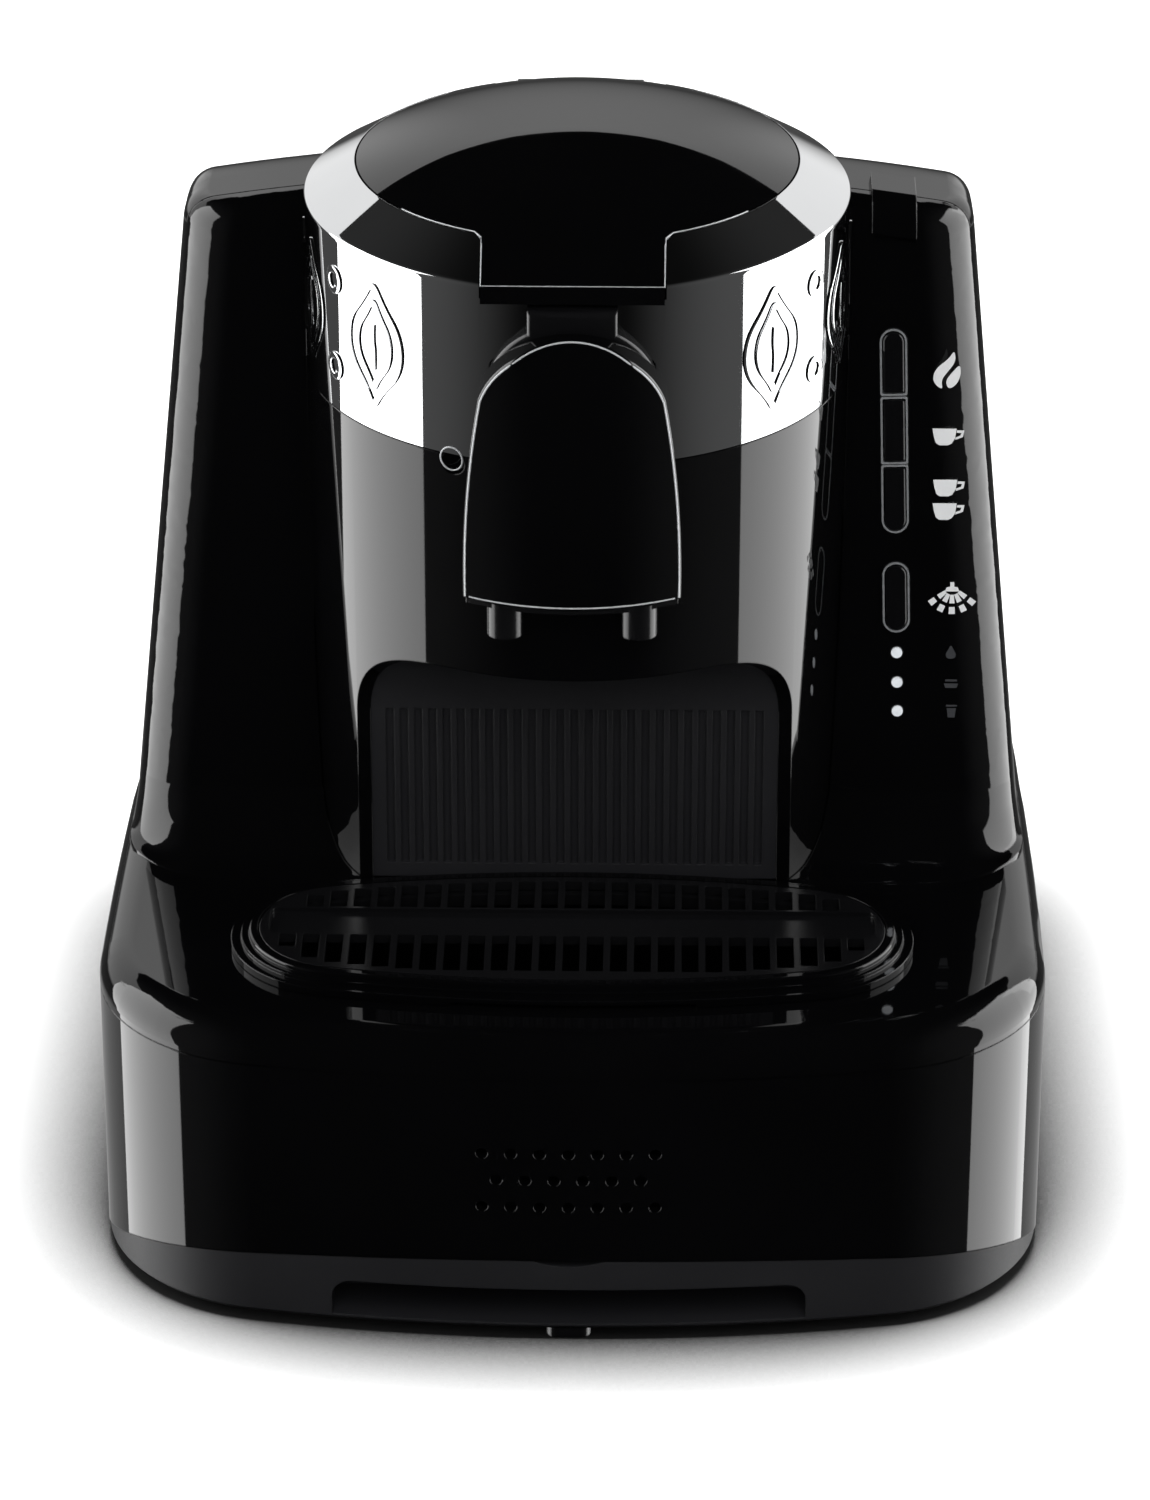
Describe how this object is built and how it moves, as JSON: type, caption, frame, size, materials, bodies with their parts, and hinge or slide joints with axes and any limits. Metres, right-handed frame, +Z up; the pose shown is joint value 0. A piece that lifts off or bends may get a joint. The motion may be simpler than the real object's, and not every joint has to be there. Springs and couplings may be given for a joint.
{
  "type": "electric turkish coffee maker",
  "caption": "Countertop machine that brews Turkish coffee in a lidded pot and pours it through a fixed spout into cups standing on a drip tray, fed by a rear lift-out water tank.",
  "frame": {"origin": "on the table, below the vertical axis of the brewing pot", "axes": "-Y is the front, +X the side with the buttons, +Z up"},
  "size_m": [0.2186, 0.232, 0.2551],
  "materials": {
    "gloss_black": "piano gloss",
    "matt_grey": "fine matt",
    "matt_black": "satin",
    "chrome": "mirror",
    "steel": "brushed",
    "aluminium": "cast",
    "rubber": "matt",
    "button_black": "gloss",
    "smoke_clear": "smoked clear",
    "lamp_white": "lit diffuser",
    "board_green": "laminate"
  },
  "bodies": {
    "housing": {"body_shell": "gloss_black", "front_band": "gloss_black", "base_tub": "matt_grey", "rubber_feet": "rubber", "front_foot": "matt_black", "base_screws": "steel", "lead_gland": "rubber", "column_cover": "gloss_black", "splash_back": "matt_grey", "crown_ring": "chrome", "pot_collar": "matt_black", "lid_pin": "steel", "brew_pot": "steel", "heater_plate": "aluminium", "heater_element": "steel", "thermostat": "steel", "pot_cradle": "matt_black", "spout_collar": "matt_black", "spout_channel": "matt_black", "button_bezel": "chrome", "lamp_lenses": "lamp_white", "control_board": "board_green", "push_switches": "board_green", "tank_bay": "matt_black", "pump": "matt_black", "water_hoses": "rubber", "speaker": "matt_black", "power_board": "board_green"},
    "dome_lid": {"lid": "gloss_black", "lid_liner": "steel", "lid_gasket": "rubber"},
    "water_tank": {"tank": "smoke_clear", "tank_valve": "rubber", "tank_hinge_pins": "steel"},
    "tank_cover": {"tank_lid": "gloss_black", "finger_tab": "matt_grey"},
    "tray": {"drip_tray": "matt_black"},
    "grate": {"drip_grate": "matt_black"},
    "shield": {"spout_shield": "gloss_black"},
    "key_top": {"button_top": "button_black"},
    "key_middle": {"button_middle": "button_black"},
    "key_bottom": {"button_bottom": "button_black"},
    "key_rinse": {"button_rinse": "button_black"}
  },
  "joints": [
    {"name": "dome_lid_hinge", "type": "hinge", "parent": "housing", "child": "dome_lid", "pos_m": [0, 0.0538, 0.2394], "axis": [-1, 0, 0], "range_deg": [0, 70]},
    {"name": "tank_lift", "type": "slide", "parent": "housing", "child": "water_tank", "axis": [0, 0, 1], "range_m": [0, 0.135]},
    {"name": "tank_cover_hinge", "type": "hinge", "parent": "water_tank", "child": "tank_cover", "pos_m": [0, 0.1098, 0.1974], "axis": [-1, 0, 0], "range_deg": [0, 65]},
    {"name": "tray_lift", "type": "slide", "parent": "housing", "child": "tray", "axis": [0, 0, 1], "range_m": [0, 0.03]},
    {"name": "grate_lift", "type": "slide", "parent": "tray", "child": "grate", "axis": [0, 0, 1], "range_m": [0, 0.02]},
    {"name": "shield_pull", "type": "slide", "parent": "housing", "child": "shield", "axis": [0, -1, 0], "range_m": [0, 0.025]},
    {"name": "key_top_press", "type": "slide", "parent": "housing", "child": "key_top", "axis": [0, 0.9877, -0.1561], "range_m": [0, 0.001], "stiffness_N_per_m": 600},
    {"name": "key_middle_press", "type": "slide", "parent": "housing", "child": "key_middle", "axis": [0, 0.9877, -0.1561], "range_m": [0, 0.001], "stiffness_N_per_m": 600},
    {"name": "key_bottom_press", "type": "slide", "parent": "housing", "child": "key_bottom", "axis": [0, 0.9877, -0.1561], "range_m": [0, 0.001], "stiffness_N_per_m": 600},
    {"name": "key_rinse_press", "type": "slide", "parent": "housing", "child": "key_rinse", "axis": [0, 0.9877, -0.1561], "range_m": [0, 0.001], "stiffness_N_per_m": 600}
  ]
}
